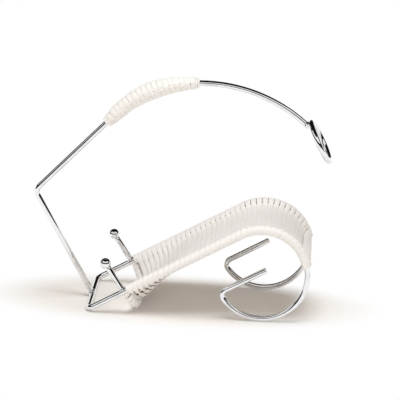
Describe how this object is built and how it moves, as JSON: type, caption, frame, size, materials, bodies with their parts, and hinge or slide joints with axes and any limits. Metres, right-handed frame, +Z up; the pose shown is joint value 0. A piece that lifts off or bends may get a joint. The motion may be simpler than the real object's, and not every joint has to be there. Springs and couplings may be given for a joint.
{
  "type": "wine bottle stand",
  "caption": "Bent chrome wire stand that holds a wine bottle at a tilt, with round loop feet, a woven cane seat, a neck ring and a cane-wound carrying handle.",
  "frame": {"origin": "on the table, in the middle of the stand's overall length and width", "axes": "+X towards the wheel loops and the neck ring, +Y to the stand's left side, +Z up"},
  "size_m": [0.2691, 0.1018, 0.2128],
  "materials": {
    "chrome_wire": "polished",
    "white_cane": "white satin paint"
  },
  "bodies": {
    "root": {"rear_crossbar": "chrome_wire", "handle_wire": "chrome_wire", "neck_ring": "chrome_wire", "right_rail": "chrome_wire", "right_wheel_loop": "chrome_wire", "right_post": "chrome_wire", "right_ball": "chrome_wire", "left_rail": "chrome_wire", "left_wheel_loop": "chrome_wire", "left_post": "chrome_wire", "left_ball": "chrome_wire", "rear_hoop": "chrome_wire", "front_crosswire": "chrome_wire", "right_rail_wrap": "white_cane", "left_rail_wrap": "white_cane", "rear_hoop_wrap": "white_cane", "front_edge_wrap": "white_cane", "seat_weave": "white_cane", "grip_core": "white_cane", "grip_winding": "white_cane", "grip_rear_collar": "white_cane", "grip_front_collar": "white_cane"}
  },
  "joints": []
}
